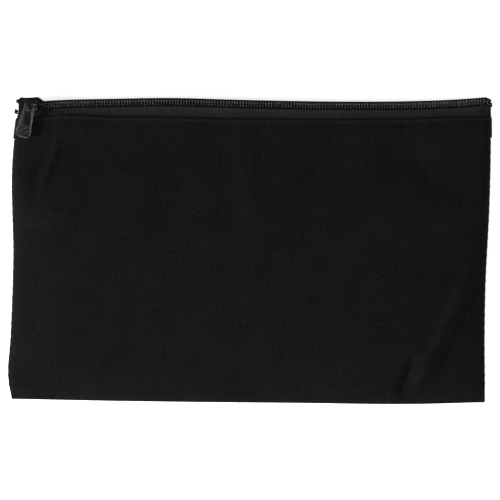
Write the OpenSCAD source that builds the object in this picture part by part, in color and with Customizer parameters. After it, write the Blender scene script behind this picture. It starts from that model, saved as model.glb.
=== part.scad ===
// Flat zip pencil case in cotton canvas, lying on its back with the zip towards +Y.
// One canvas sheet is folded at the bottom, sewn up both sides and closed by a coil zip.
// Millimetres. The origin is on the table, under the middle of the case.

/* [Pouch] */
// Width between the side seams
case_w = 200; // [150:1:260]
// Height from the bottom fold to the top edge
case_h = 128.8; // [100:0.1:170]
// Height of the front panel's crown above the table
crown_z = 12.2; // [11.5:0.1:18]
// Height of the side seams and the bottom fold above the table
seam_z = 4.5; // [3.5:0.1:6]
// Sideways lean of each side seam from mid height to the top
lean = 1.3; // [0:0.1:4]
// Drop of the bottom fold from mid width to the right end
fold_slope = 0.9; // [0:0.1:3]
// Radius of the bottom corners seen from above
corner_r = 4; // [2:0.5:10]

/* [Cloth] */
// Thickness of the canvas
cloth_t = 0.7; // [0.5:0.05:0.9]
// Width of the hem folded under at the mouth
hem_w = 9; // [7:0.5:14]
// Height of the back hem above the table
hem_lift = 0.6; // [0.4:0.05:1.2]
// Clear height of the mouth between the two tapes
mouth_gap = 4.6; // [4.2:0.1:7]
// Width of the seam allowance inside each side
allowance_w = 8; // [5:0.5:12]

/* [Thread] */
// Thickness of the sewing thread
thread_d = 0.25; // [0.15:0.05:0.4]
// Length of one topstitch
stitch_l = 2.2; // [1.5:0.1:3]
// Distance from one topstitch to the next
stitch_pitch = 2.9; // [2.5:0.1:5]
// Distance of the topstitch from the fold edge of the hem
stitch_inset = 1; // [0.6:0.1:2.5]
// Distance from one overlock loop to the next
overlock_pitch = 3; // [2:0.1:6]
// Length of an overlock loop over the raw edge
overlock_reach = 3; // [2:0.25:4.5]
// Distance from one side seam stitch to the next
seam_pitch = 3.6; // [2.4:0.1:6]
// Length of one side seam stitch
seam_stitch_l = 1.2; // [0.8:0.1:2]

/* [Zip chain] */
// Distance from one coil turn to the next
coil_pitch = 1.18; // [1:0.02:1.4]
// Thickness of the coil's filament
wire_d = 0.36; // [0.28:0.02:0.42]
// Width of the closed chain
chain_w = 3.4; // [3:0.1:4]
// Height of the coil above the tape
coil_h = 1.4; // [1.2:0.05:1.8]
// How far the coil heads reach past the middle of the chain
head_reach = 0.25; // [0.15:0.05:0.35]
// Width of the solid root of each tooth beside the rail
root_w = 0.14; // [0.1:0.02:0.2]
// Diameter of the cord inside the coil
core_d = 0.5; // [0.3:0.05:0.6]
// How far each coil is spread at the mouth of the slider
spread = 1.3; // [1.2:0.05:1.4]
// Thickness of the zip tape
tape_t = 0.5; // [0.35:0.05:0.6]
// Width of tape from the fold edge to the middle of the chain
lip_w = 4.7; // [4.4:0.1:7]
// Width of tape sewn under the hem
margin_w = 6; // [4:0.5:6.5]
// Distance of the zip's left end inside the left seam
left_inset = 2.8; // [1:0.1:10]
// Distance of the zip's right end inside the right seam
right_inset = 2; // [1:0.1:10]
// Length of the corners cut off the sewn margin at each end
margin_cut = 12; // [10:0.5:20]
// Gap between the fold edge of the hem and the shoulders of the front tape
root_gap = 0.12; // [0.1:0.01:0.2]
// Radius of the two bends of the back tape
bend_r = 0.8; // [0.7:0.05:1]
// Where the coils start to part, ahead of the slider's middle
spread_lead = 1.5; // [1.3:0.1:1.7]
// Length over which the coils part
spread_run = 4.5; // [4:0.1:4.8]

/* [Slider] */
// Length of the slider body
slider_l = 8; // [7.4:0.1:10]
// Width of the slider across its two throats
throat_w = 7.2; // [7:0.1:8]
// Width of the slider at its tail
tail_w = 5; // [4.8:0.1:5.6]
// Thickness of the top and bottom plates
plate_t = 0.7; // [0.5:0.05:1]
// Running clearance round the chain and the tapes
slider_gap = 0.2; // [0.15:0.05:0.25]
// Widest part of the wedge between the throats
wedge_w = 1.2; // [0.8:0.1:1.3]
// Distance of the wedge's point behind the slider's middle
wedge_tip = 0.4; // [0.3:0.1:0.8]
// Distance of the wedge's blunt end from the slider's open end
wedge_inset = 0.3; // [0.2:0.1:0.5]
// Where the flanges start to widen, ahead of the slider's middle
widen_from = 0.8; // [0.5:0.1:1]
// Where the flanges are at full width, behind the slider's middle
widen_to = 2.4; // [2.2:0.1:2.6]
// Radius of the corners of the two plates
plate_r = 1.5; // [0.4:0.1:1.5]
// Width of the strap that holds the tab
strap_w = 1.6; // [1.5:0.1:2]
// Distance of the tab's post ahead of the slider's middle
post_x = 0.8; // [0.5:0.1:1]
// Distance of the slider's open end from the left end of the zip
slider_inset = 0.7; // [0:0.1:20]

/* [Pull tab] */
// Length of the pull tab
tab_l = 15.7; // [12:0.1:30]
// Width of the tab beside its eye
tab_neck_w = 4.2; // [3.8:0.1:4.4]
// Width of the tab near its free end
tab_end_w = 6.2; // [4.6:0.1:8]
// Thickness of the tab at its rims
tab_t = 1; // [0.8:0.05:1.6]
// Width of the raised rim along each edge
rim_w = 0.8; // [0.5:0.05:1]
// Depth of the sunk middle below the rims
sink = 0.3; // [0.15:0.05:0.4]
// Radius of the corners at the free end
end_r = 2; // [1:0.1:2.2]
// Length of the ridged grip at the free end
grip_l = 5.5; // [4:0.5:8]
// Number of grooves across the grip
groove_count = 5; // [3:1:6]
// Width of one groove
groove_w = 0.4; // [0.3:0.05:0.5]
// Angle of the grooves across the grip
groove_lean = 40; // [0:5:60]
// Diameter of the round post inside the eye
post_d = 1.5; // [1.2:0.05:1.7]
// Clearance round the post and under the strap
eye_gap = 0.25; // [0.15:0.05:0.35]
// Angle at which the tab lies, from straight down the front
tab_lean = 13; // [0:1:40]

/* [Hidden] */
$fn = 48;

// Colours of the parts
canvas_black = [0.09, 0.09, 0.09];
tape_black = [0.13, 0.13, 0.12];
coil_black = [0.17, 0.17, 0.17];
thread_black = [0.06, 0.06, 0.06];
metal_grey = [0.35, 0.35, 0.36];

// Heights through the mouth, from the table up
hem_t = 2 * cloth_t;
back_tape_z = hem_lift + hem_t;
front_tape_z = back_tape_z + tape_t + mouth_gap;
chain_z = front_tape_z + tape_t;
front_hem_z = chain_z + hem_t;
coil_top = chain_z + coil_h;
plate_low = front_tape_z - slider_gap - plate_t;
plate_high = coil_top + thread_d + slider_gap;
tab_z = plate_high + plate_t + slider_gap;
strap_z = tab_z + tab_t + eye_gap;

// Places across the mouth
half_h = case_h / 2;
half_w = case_w / 2;
chain_y = half_h - tape_t - slider_gap - throat_w / 2;
hem_y = chain_y - lip_w;
hem_start_y = hem_y - hem_w;
tape_edge = wedge_w / 2 + slider_gap;
zip_left = half_w - left_inset;
zip_right = half_w - right_inset;
margin_left = -zip_left + margin_cut;
margin_right = zip_right - margin_cut;

// Grid of the cloth panels
columns = 24;
rows = 15;
side_power = 4;
flat_power = 8;
hem_power = 80;
hem_blend = 0.35;
tiny = 0.001;

function ease(t) = let (c = min(1, max(0, t))) c * c * (3 - 2 * c);
function unit(v) = v / norm(v);
function fold_y(x) = -half_h + fold_slope * (1 - x / half_w);
function seam_x(side, y) = side * half_w + lean * y / half_h;

// Cloth surface: u runs from seam to seam, q from the hem at 0 to the bottom fold at 1
function row_q(j) = j < rows ? cos(90 * j / (rows - 1)) : 0;
function col_u(i) = sin(180 * i / columns - 90);
function round_in(d) = d < corner_r ? corner_r - sqrt(corner_r ^ 2 - (corner_r - d) ^ 2) : 0;
function plan_y(u, q) = let (low = fold_y(u * half_w)) hem_start_y + (low - hem_start_y) * q;
function plan_x(u, y) =
    let (d = max(0, y - fold_y(u * half_w)))
    lean * y / half_h + u * (half_w - round_in(d));
function bulge(u, q, power) =
    let (hemward = 1 - ease(q / hem_blend))
    let (p = power + (hem_power - power) * hemward)
    sqrt(max(0, 1 - abs(u) ^ p)) * sqrt(max(0, 1 - q ^ power));
function front_z(u, q) =
    let (top = front_hem_z + (crown_z - front_hem_z) * ease(q / hem_blend))
    seam_z + (top - seam_z) * bulge(u, q, side_power);
function back_z(u, q) =
    let (low = hem_lift * (1 - ease(q / hem_blend)))
    seam_z - (seam_z - low) * bulge(u, q, flat_power);
function skin(side, u, q) =
    let (y = plan_y(u, q))
    [plan_x(u, y), y, side > 0 ? front_z(u, q) : back_z(u, q)];
function inward(side, u, q) =
    let (du = skin(side, min(1, u + tiny), q) - skin(side, max(-1, u - tiny), q))
    let (dq = skin(side, u, max(0, q - tiny)) - skin(side, u, min(1, q + tiny)))
    -side * unit(cross(du, dq));
function toward_corner(p, u) =
    let (centre = [seam_x(sign(u), p.y) - sign(u) * corner_r, fold_y(u * half_w) + corner_r])
    let (d = unit([centre.x - p.x, centre.y - p.y]))
    [d.x, d.y, 0];
function lining_way(side, p, u, q) =
    abs(u) < 1 && q < 1 ? inward(side, u, q)
    : abs(u) < 1 ? [0, 1, 0]
    : p.y < fold_y(u * half_w) + corner_r ? toward_corner(p, u)
    : [-sign(u), 0, 0];

function lift_y(p, j) = j < rows ? p : [p.x + lean * hem_w / half_h, hem_y, p.z];
function outer_point(side, i, j) = lift_y(skin(side, col_u(i), row_q(j)), j);
function inner_point(side, i, j) =
    let (u = col_u(i), q = row_q(j), t = j < rows - 1 ? cloth_t : hem_t)
    let (p = skin(side, u, q))
    let (depth = abs(u) < 1 ? t : cloth_t)
    let (lining = p + depth * lining_way(side, p, u, q))
    lift_y([lining.x, lining.y, side * max(side * lining.z, side * seam_z)], j);

// Triangles of a closed sheet between two grids of (columns + 1) by (rows + 1) points
function grid_at(layer, i, j) = (layer * (rows + 1) + j) * (columns + 1) + i;
function two(a, b, c, d) = [[a, b, c], [a, c, d]];
function sheet_faces() = [
    for (j = [0:rows - 1], i = [0:columns - 1])
        each two(grid_at(0, i, j), grid_at(0, i, j + 1), grid_at(0, i + 1, j + 1), grid_at(0, i + 1, j)),
    for (j = [0:rows - 1], i = [0:columns - 1])
        each two(grid_at(1, i, j), grid_at(1, i + 1, j), grid_at(1, i + 1, j + 1), grid_at(1, i, j + 1)),
    for (i = [0:columns - 1])
        each two(grid_at(0, i, 0), grid_at(0, i + 1, 0), grid_at(1, i + 1, 0), grid_at(1, i, 0)),
    for (i = [0:columns - 1])
        each two(grid_at(0, i, rows), grid_at(1, i, rows), grid_at(1, i + 1, rows), grid_at(0, i + 1, rows)),
    for (j = [0:rows - 1])
        each two(grid_at(0, 0, j), grid_at(1, 0, j), grid_at(1, 0, j + 1), grid_at(0, 0, j + 1)),
    for (j = [0:rows - 1])
        each two(grid_at(0, columns, j), grid_at(0, columns, j + 1),
            grid_at(1, columns, j + 1), grid_at(1, columns, j))];

module cloth_sheet(side) {
    // The lower sheet swaps its two grids, so that its faces also point outwards
    upper = [for (j = [0:rows], i = [0:columns])
        side > 0 ? outer_point(side, i, j) : inner_point(side, i, j)];
    lower = [for (j = [0:rows], i = [0:columns])
        side > 0 ? inner_point(side, i, j) : outer_point(side, i, j)];
    polyhedron(points = concat(upper, lower), faces = sheet_faces());
}

module front_panel() { color(canvas_black) cloth_sheet(1); }
module back_panel() { color(canvas_black) cloth_sheet(-1); }

// Seam allowances: both raw edges turned in, lying flat behind the side seam
allowance_low_y = -half_h + 2 * fold_slope + corner_r + allowance_w;
allowance_top_y = hem_y;
allowance_taper = 4 * cloth_t;
lean_angle = atan(lean / half_h);

module along_seam(side) {
    translate([seam_x(side, 0) - side * cloth_t, 0, seam_z])
        rotate([0, 0, -lean_angle])
            children();
}

module seam_allowance(side) {
    run = allowance_top_y - allowance_low_y;
    color(canvas_black)
        along_seam(side)
            translate([0, allowance_low_y, 0])
                rotate([90, 0, 0])
                    mirror([0, 0, 1])
                        linear_extrude(run)
                            polygon([[0, 0], [-side * allowance_taper, cloth_t], [-side * allowance_w, cloth_t],
                                [-side * allowance_w, -cloth_t], [-side * allowance_taper, -cloth_t]]);
}

module left_seam_allowance() { seam_allowance(-1); }
module right_seam_allowance() { seam_allowance(1); }

// Overlock thread: loops round the raw edge of each allowance
module overlock_thread(side) {
    inner = cloth_t;
    outer = cloth_t + thread_d;
    first = allowance_low_y + overlock_pitch;
    color(thread_black)
        along_seam(side)
            for (y = [first:overlock_pitch:allowance_top_y - overlock_pitch])
                translate([-side * allowance_w, y, 0])
                    rotate([90, 0, 0])
                        linear_extrude(thread_d, center = true)
                            polygon([[side * overlock_reach, inner], [side * overlock_reach, outer],
                                [-side * thread_d, outer], [-side * thread_d, -outer],
                                [side * overlock_reach, -outer], [side * overlock_reach, -inner],
                                [0, -inner], [0, inner]]);
}

module left_overlock_thread() { overlock_thread(-1); }
module right_overlock_thread() { overlock_thread(1); }

// Side seam stitches: short bars that draw the two panels together at the seam
module seam_stitches(side) {
    bar = [thread_d, seam_stitch_l, hem_t];
    color(thread_black)
        along_seam(side)
            for (y = [allowance_low_y:seam_pitch:hem_start_y])
                translate([side * (cloth_t + thread_d / 2), y, 0])
                    cube(bar, center = true);
}

module left_seam_stitches() { seam_stitches(-1); }
module right_seam_stitches() { seam_stitches(1); }

// Topstitch: a row of thread bars beside the fold edge of each hem
module topstitch(z) {
    color(thread_black)
        for (x = [margin_left:stitch_pitch:margin_right - stitch_l])
            translate([x, hem_y - stitch_inset - thread_d / 2, z])
                cube([stitch_l, thread_d, thread_d]);
}

module front_topstitch() { topstitch(front_hem_z); }
module back_topstitch() { topstitch(hem_lift - thread_d); }

// Zip tapes: woven strips, drawn as a section across the mouth and run along X
module run_along(x0, x1) {
    translate([x0, 0, 0])
        rotate([90, 0, 90])
            linear_extrude(x1 - x0)
                children();
}

// The front tape lies under its hem, with its corners cut off so that the hem can close at the seams
module front_zip_tape() {
    shoulder = hem_y + root_gap;
    edge = chain_y - tape_edge;
    color(tape_black)
        translate([0, 0, front_tape_z])
            linear_extrude(tape_t)
                polygon([[-zip_left, edge], [-zip_left, shoulder], [margin_left, shoulder],
                    [margin_left, hem_y - margin_w], [margin_right, hem_y - margin_w],
                    [margin_right, shoulder], [zip_right, shoulder], [zip_right, edge]]);
}

// The back tape turns down behind the slider and runs back along the inside of the hem
bend_steps = 6;
function bend(centre, r, from, to) = [
    for (k = [0:bend_steps])
        let (a = from + (to - from) * k / bend_steps)
        centre + r * [cos(a), sin(a)]];
function turn_path(inset) =
    let (r = bend_r - inset, y = half_h - bend_r)
    concat([[chain_y + tape_edge, chain_z - inset]],
        bend([y, chain_z - bend_r], r, 90, 0),
        bend([y, back_tape_z + bend_r], r, 0, -90),
        [[hem_y, back_tape_z + inset]]);
function backwards(list) = [for (k = [len(list) - 1:-1:0]) list[k]];

module back_zip_tape() {
    color(tape_black) {
        run_along(-zip_left, zip_right)
            polygon(concat(turn_path(0), backwards(turn_path(tape_t))));
        run_along(margin_left, margin_right)
            translate([hem_y - margin_w, back_tape_z])
                square([margin_w + root_gap, tape_t]);
    }
}

// Coils: each turn is a hooked tooth on a rail, so that the heads mesh in the middle
slider_x = -zip_left + slider_inset + slider_l / 2;
turns = floor((zip_left + zip_right) / coil_pitch) - 1;
rail_out = chain_w / 2;
rail_in = rail_out - wire_d;
cord_out = rail_in - root_w;
cord_in = wire_d - head_reach;
cord_top = chain_z + coil_h - wire_d;
spread_from = slider_x + spread_lead;
function parted(x) = spread * ease((spread_from - x) / spread_run);
function coil_start(side) = -zip_left + coil_pitch * (side > 0 ? 1 : 0.5);
function beside(side, x, y) = [x, chain_y + side * (y - parted(x))];

// Places along the chain: close together where the coils part, then one at the far end
path_steps = 8;
function stations(from, to) = concat(
    [for (k = [0:path_steps]) from + (spread_from - from) * k / path_steps], [to]);
function tooth(side, x) = [
    beside(side, x - wire_d / 2, -rail_in), beside(side, x - wire_d / 2, head_reach),
    beside(side, x + wire_d / 2, head_reach), beside(side, x + wire_d / 2, -rail_in)];

module comb_plan(side) {
    first = coil_start(side) - wire_d / 2;
    last = coil_start(side) + (turns - 1) * coil_pitch + wire_d / 2;
    teeth = [for (n = [0:turns - 1]) each tooth(side, coil_start(side) + n * coil_pitch)];
    back = [for (x = stations(first, last)) beside(side, x, -rail_out)];
    polygon(concat(teeth, backwards(back)));
}

// The room for the cord, open towards the tape
module cord_plan(side) {
    run = stations(-zip_left - coil_pitch, zip_right + coil_pitch);
    polygon(concat([for (x = run) beside(side, x, -cord_out)],
        backwards([for (x = run) beside(side, x, -cord_in)])));
}

module coil(side) {
    color(coil_black)
        difference() {
            translate([0, 0, chain_z]) linear_extrude(coil_h) comb_plan(side);
            translate([0, 0, chain_z - wire_d])
                linear_extrude(cord_top - chain_z + wire_d) cord_plan(side);
        }
}

module front_coil() { coil(1); }
module back_coil() { coil(-1); }

// A cord or thread that runs along one side of the chain and parts with its coil
function tube_faces(rings, sides) = [
    [for (s = [sides - 1:-1:0]) s],
    for (r = [0:rings - 2], s = [0:sides - 1])
        let (n = (s + 1) % sides)
        each two(r * sides + s, r * sides + n, (r + 1) * sides + n, (r + 1) * sides + s),
    [for (s = [0:sides - 1]) (rings - 1) * sides + s]];
function turned(faces) = [for (f = faces) backwards(f)];
function strand_points(side, y, z, r, sides) = [
    for (x = stations(-zip_left, zip_right - coil_pitch), s = [0:sides - 1])
        let (a = 360 * (s + 0.5) / sides)
        [x, chain_y + side * (y - parted(x) + r * cos(a)), z + r * sin(a)]];

module strand(side, y, z, r, sides) {
    faces = tube_faces(path_steps + 2, sides);
    polyhedron(points = strand_points(side, y, z, r, sides),
        faces = side > 0 ? turned(faces) : faces);
}

core_y = -(cord_out + cord_in) / 2;
module core_cord(side) {
    color(thread_black)
        strand(side, core_y, (chain_z + cord_top) / 2, core_d / 2, 6);
}

module front_core_cord() { core_cord(1); }
module back_core_cord() { core_cord(-1); }

// The thread that sews each coil down, lying across the backs of its legs
stitching_y = wire_d - chain_w / 2;
module coil_stitching(side) {
    color(thread_black)
        strand(side, stitching_y, coil_top + thread_d / 2, thread_d / 2 / cos(45), 4);
}

module front_coil_stitching() { coil_stitching(1); }
module back_coil_stitching() { coil_stitching(-1); }

// Slider: two plates joined by the wedge, with flanges that hold the coils together
half_l = slider_l / 2;
over_cut = plate_t;
channel_tail = chain_w / 2 + slider_gap;
channel_nose = chain_w / 2 + spread + slider_gap;
flange_z = chain_z + slider_gap;
heel_x = post_x + tab_neck_w / 2 + 2 * eye_gap;
lug_end = half_l - slider_gap;

// Half outline of the slider from tail to nose, mirrored to close it
function half_plan(tail, nose, r) = [
    [half_l, tail - r], for (a = [15:15:90]) [half_l - r + r * cos(a), tail - r + r * sin(a)],
    [widen_from, tail], [-widen_to, nose],
    for (a = [90:15:165]) [-half_l + r + r * cos(a), nose - r + r * sin(a)], [-half_l, nose - r]];
function both_halves(half) = concat(half, [for (p = backwards(half)) [p.x, -p.y]]);
// The plates' corner radius, kept short of where the flanges reach full width
corner_limit = half_l - widen_to - slider_gap / 2;
module slider_plan() {
    polygon(both_halves(half_plan(tail_w / 2, throat_w / 2, min(plate_r, corner_limit))));
}
module channel_plan() {
    polygon(both_halves([[half_l + over_cut, channel_tail], [widen_from, channel_tail],
        [-widen_to, channel_nose], [-half_l - over_cut, channel_nose]]));
}
module wedge_plan() {
    blunt_x = -half_l + wedge_inset;
    polygon([[-wedge_tip, 0], [-widen_to, wedge_w / 2], [blunt_x, wedge_w / 3],
        [blunt_x, -wedge_w / 3], [-widen_to, -wedge_w / 2]]);
}

module lug() {
    foot_z = plate_high + plate_t;
    translate([post_x, 0, foot_z])
        cylinder(d = post_d, h = strap_z - foot_z);
    translate([heel_x, -strap_w / 2, foot_z])
        cube([lug_end - heel_x, strap_w, strap_z - foot_z]);
    translate([post_x, 0, strap_z])
        linear_extrude(plate_t)
            union() {
                circle(d = strap_w);
                translate([0, -strap_w / 2]) square([lug_end - post_x, strap_w]);
            }
}

module slider_body() {
    color(metal_grey)
        translate([slider_x, chain_y, 0])
            union() {
                translate([0, 0, plate_low]) linear_extrude(plate_t) slider_plan();
                translate([0, 0, plate_high]) linear_extrude(plate_t) slider_plan();
                translate([0, 0, plate_low]) linear_extrude(plate_high - plate_low + plate_t) wedge_plan();
                translate([0, 0, flange_z])
                    linear_extrude(plate_high - flange_z)
                        difference() {
                            slider_plan();
                            channel_plan();
                        }
                lug();
            }
}

// Pull tab: an eye round the post, two raised rims, a sunk middle and a ridged grip
eye_r = post_d / 2 + eye_gap;
eye_out = tab_neck_w / 2;
tab_reach = tab_l - eye_out;

function tab_half(inset) = [
    for (a = [90:-15:0]) (eye_out - inset) * [cos(a), sin(a)],
    [tab_end_w / 2 - inset, -tab_reach + end_r],
    for (a = [-15:-15:-90])
        [tab_end_w / 2 - end_r, -tab_reach + end_r] + (end_r - inset) * [cos(a), sin(a)]];
function mirrored(half) = concat(half, [for (p = backwards(half)) [-p.x, p.y]]);
module tab_plan(inset) { polygon(mirrored(tab_half(inset))); }

// Slanting grooves that fill the grip, spread evenly along it
module grip_grooves(top, run) {
    step = run / groove_count;
    intersection() {
        translate([-tab_end_w, top - step - run]) square([2 * tab_end_w, run]);
        for (k = [0:groove_count - 1])
            translate([0, top - step - (k + 0.5) * step])
                rotate([0, 0, groove_lean])
                    square([3 * tab_end_w, groove_w], center = true);
    }
}

module pull_tab() {
    floor_t = tab_t - sink;
    grip_y = grip_l - tab_reach;
    grip_run = grip_l - rim_w - groove_w;
    color(metal_grey)
        translate([slider_x + post_x, chain_y, tab_z])
            rotate([0, 0, -tab_lean])
                difference() {
                    linear_extrude(tab_t) tab_plan(0);
                    translate([0, 0, -tab_t]) cylinder(r = eye_r, h = 3 * tab_t);
                    translate([0, 0, floor_t])
                        linear_extrude(tab_t)
                            intersection() {
                                tab_plan(rim_w);
                                translate([-tab_end_w, grip_y]) square([2 * tab_end_w, -grip_y - eye_out]);
                            }
                    translate([0, 0, floor_t])
                        linear_extrude(tab_t)
                            intersection() {
                                tab_plan(rim_w);
                                grip_grooves(grip_y, grip_run);
                            }
                }
}

front_panel();
back_panel();
left_seam_allowance();
right_seam_allowance();
left_overlock_thread();
right_overlock_thread();
left_seam_stitches();
right_seam_stitches();
front_topstitch();
back_topstitch();
front_zip_tape();
back_zip_tape();
front_coil();
back_coil();
front_core_cord();
back_core_cord();
front_coil_stitching();
back_coil_stitching();
slider_body();
pull_tab();
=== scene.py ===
# %% [markdown]
# # A flat canvas pencil case with a coil zip
# The case is a small pouch: one piece of black cotton canvas, folded along the bottom, sewn up both
# sides and closed by a fine coil zip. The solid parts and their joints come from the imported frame. This
# lesson dresses them: cloth with its soft folds, woven tape, the coils, the stitches and the metal pull.
# The main heights and places are read from the frame, so that what is drawn stays on the solids.

# %% Load the frame
import math

import bmesh
import bpy
import numpy as np
from mathutils import Matrix, Vector


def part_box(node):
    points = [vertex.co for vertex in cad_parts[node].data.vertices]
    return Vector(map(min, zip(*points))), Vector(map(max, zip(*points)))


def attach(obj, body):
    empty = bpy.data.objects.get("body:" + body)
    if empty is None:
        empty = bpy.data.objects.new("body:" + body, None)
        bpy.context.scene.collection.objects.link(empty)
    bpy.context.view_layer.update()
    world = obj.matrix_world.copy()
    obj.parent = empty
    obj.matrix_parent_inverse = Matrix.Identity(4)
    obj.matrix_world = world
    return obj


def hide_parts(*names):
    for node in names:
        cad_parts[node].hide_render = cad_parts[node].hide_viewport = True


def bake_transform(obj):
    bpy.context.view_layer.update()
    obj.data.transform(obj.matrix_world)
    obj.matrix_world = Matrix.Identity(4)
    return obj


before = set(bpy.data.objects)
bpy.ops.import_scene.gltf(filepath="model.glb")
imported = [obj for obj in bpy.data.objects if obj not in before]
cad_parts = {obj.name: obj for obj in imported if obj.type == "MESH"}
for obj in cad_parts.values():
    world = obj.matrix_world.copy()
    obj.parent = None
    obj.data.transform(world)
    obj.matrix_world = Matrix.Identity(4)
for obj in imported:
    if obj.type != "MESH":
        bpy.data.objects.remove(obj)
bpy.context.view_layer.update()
MM = 0.001

# %% [markdown]
# ## Stage, light and camera
# The case lies on a white table and is seen from straight above, as on a shop page. A long lens keeps its
# sides straight, and the camera's height follows from the size of one pixel on the case. Sun lamps would
# draw hard edges on every fold, so four round lamps and a pale sky keep the light soft.
#
# The table is plain white paint. A little glow that only the camera and reflections see lifts it to paper
# white, so the cloth gets no extra light and its shadow stays on the table.

# %% Camera above the table
PIXEL = 0.42 * MM
FRAME_PIXELS = 500
LENS = 120.0
SENSOR = 36.0
SEAM_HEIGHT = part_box("front_panel")[0].z

scene = bpy.context.scene
scene.view_settings.view_transform = "Standard"


def new_object(name, data):
    obj = bpy.data.objects.new(name, data)
    scene.collection.objects.link(obj)
    return obj


camera = new_object("camera", bpy.data.cameras.new("camera"))
camera.data.lens = LENS
camera.data.sensor_width = SENSOR
camera_height = FRAME_PIXELS * PIXEL * LENS / SENSOR
camera.location = (0.0, 0.0, SEAM_HEIGHT + camera_height)
scene.camera = camera
print("camera height", round(camera.location.z, 4))

# %% Lamps and sky
# Each lamp: place in metres, width of its disk and power in watts
LAMPS = {
    "window_left": ((-1.1, -0.2, 0.5), 0.4, 22.0),
    "window_low": ((-0.2, -0.6, 0.32), 0.3, 4.5),
    "fill_right": ((0.8, -0.1, 0.14), 0.3, 1.3),
    "soft_top": ((0.4, 0.0, 1.2), 0.6, 5.0),
}
MIDDLE_OF_TABLE = (0, 0, 0)
WHITE = (1, 1, 1, 1)
SKY_STRENGTH = 0.2


def area_lamp(name, place, size, power):
    data = bpy.data.lights.new(name, "AREA")
    data.shape = "DISK"
    data.size = size
    data.energy = power
    lamp = new_object(name, data)
    lamp.location = place
    aim = Vector(MIDDLE_OF_TABLE) - Vector(place)
    lamp.rotation_euler = aim.to_track_quat("-Z", "Y").to_euler()


for lamp_name, lamp_setting in LAMPS.items():
    area_lamp(lamp_name, *lamp_setting)

world = bpy.data.worlds.new("pale_sky")
world.use_nodes = True
scene.world = world
sky = world.node_tree.nodes["Background"]
sky.inputs["Color"].default_value = WHITE
sky.inputs["Strength"].default_value = SKY_STRENGTH
print("lamps", len(LAMPS), "and a sky of", SKY_STRENGTH)

# %% White table
TABLE_SIDE = 6.0
TABLE_GLOW = 0.6


def table_paint():
    mat = bpy.data.materials.new("table_paint")
    mat.use_nodes = True
    nodes, links = mat.node_tree.nodes, mat.node_tree.links
    paint = nodes["Principled BSDF"]
    paint.inputs["Base Color"].default_value = (0.86, 0.86, 0.86, 1)
    paint.inputs["Roughness"].default_value = 0.8
    paint.inputs["Specular IOR Level"].default_value = 0.1
    path = nodes.new("ShaderNodeLightPath")
    seen = nodes.new("ShaderNodeMath")
    seen.operation = "MAXIMUM"
    links.new(path.outputs["Is Camera Ray"], seen.inputs[0])
    links.new(path.outputs["Is Glossy Ray"], seen.inputs[1])
    glow = nodes.new("ShaderNodeMath")
    glow.operation = "MULTIPLY"
    glow.inputs[1].default_value = TABLE_GLOW
    links.new(seen.outputs[0], glow.inputs[0])
    paint.inputs["Emission Color"].default_value = WHITE
    links.new(glow.outputs[0], paint.inputs["Emission Strength"])
    return mat


half_table = TABLE_SIDE / 2
table_ways = ((-1, -1), (1, -1), (1, 1), (-1, 1))
table_corners = [(x * half_table, y * half_table, 0) for x, y in table_ways]
table_mesh = bpy.data.meshes.new("table")
table_mesh.from_pydata(table_corners, [], [(0, 1, 2, 3)])
table_mesh.materials.append(table_paint())
table = new_object("table", table_mesh)
print("table", TABLE_SIDE, "m square")

# %% [markdown]
# ## Helpers
# Cloth on a real case is cut flat and then bent, and a sheet here is made in the same way: rows of points
# across it, joined into a grid. A cloth simulation could do this too, but it wouldn't land on the outline
# in the photo. Lengths are in millimetres until a mesh is made. `through` draws a smooth line through a few
# measured places, `grid_mesh` turns rows of points into a sheet, and `baked` turns modifiers into plain
# mesh.


# %% Boxes and smooth lines
def mm_box(name):
    """Lowest and highest corner of a solid part, in millimetres."""
    low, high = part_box(name)
    return np.array(low) / MM, np.array(high) / MM


def ease(t):
    """A soft step from 0 to 1."""
    c = np.clip(t, 0.0, 1.0)
    return c * c * (3 - 2 * c)


def through(places, x):
    """A smooth line through measured places, given as (x, y) pairs in rising x."""
    px = np.array([p[0] for p in places], float)
    py = np.array([p[1] for p in places], float)
    slope = np.gradient(py, px)
    x = np.clip(x, px[0], px[-1])
    i = np.clip(np.searchsorted(px, x) - 1, 0, len(px) - 2)
    step = px[i + 1] - px[i]
    t = (x - px[i]) / step
    rise = t * t * (3 - 2 * t)
    bend = slope[i] * t * (1 - t) ** 2 - slope[i + 1] * t * t * (1 - t)
    return py[i] + (py[i + 1] - py[i]) * rise + step * bend


# %% Sheets and baking
SHARP_EDGE = math.radians(50)


def grid_mesh(name, points, uv):
    """A sheet from rows by columns of points, with a texture map in metres."""
    rows, cols = points.shape[:2]
    at = np.arange(rows * cols).reshape(rows, cols)
    quads = np.stack([at[:-1, :-1], at[:-1, 1:], at[1:, 1:], at[1:, :-1]], axis=-1).reshape(-1, 4)
    mesh = bpy.data.meshes.new(name)
    mesh.from_pydata((points.reshape(-1, 3) * MM).tolist(), [], quads.tolist())
    layer = mesh.uv_layers.new(name="UVMap")
    layer.data.foreach_set("uv", uv.reshape(-1, 2)[quads.ravel()].astype(np.float32).ravel())
    mesh.polygons.foreach_set("use_smooth", np.ones(len(mesh.polygons), dtype=bool))
    return mesh


def path_map(points, across):
    """Texture map in metres: one axis across the sheet, the other along the path of its middle column."""
    middle = points[:, points.shape[1] // 2]
    run = np.concatenate([[0], np.cumsum(np.linalg.norm(np.diff(middle, axis=0), axis=1))])
    return np.stack(np.broadcast_arrays(across[None, :] * MM, run[:, None] * MM), axis=-1)


def baked(obj):
    """Turn an object's modifiers into plain mesh."""
    graph = bpy.context.evaluated_depsgraph_get()
    mesh = bpy.data.meshes.new_from_object(obj.evaluated_get(graph))
    obj.modifiers.clear()
    old = obj.data
    obj.data = mesh
    bpy.data.meshes.remove(old)
    return obj


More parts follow.
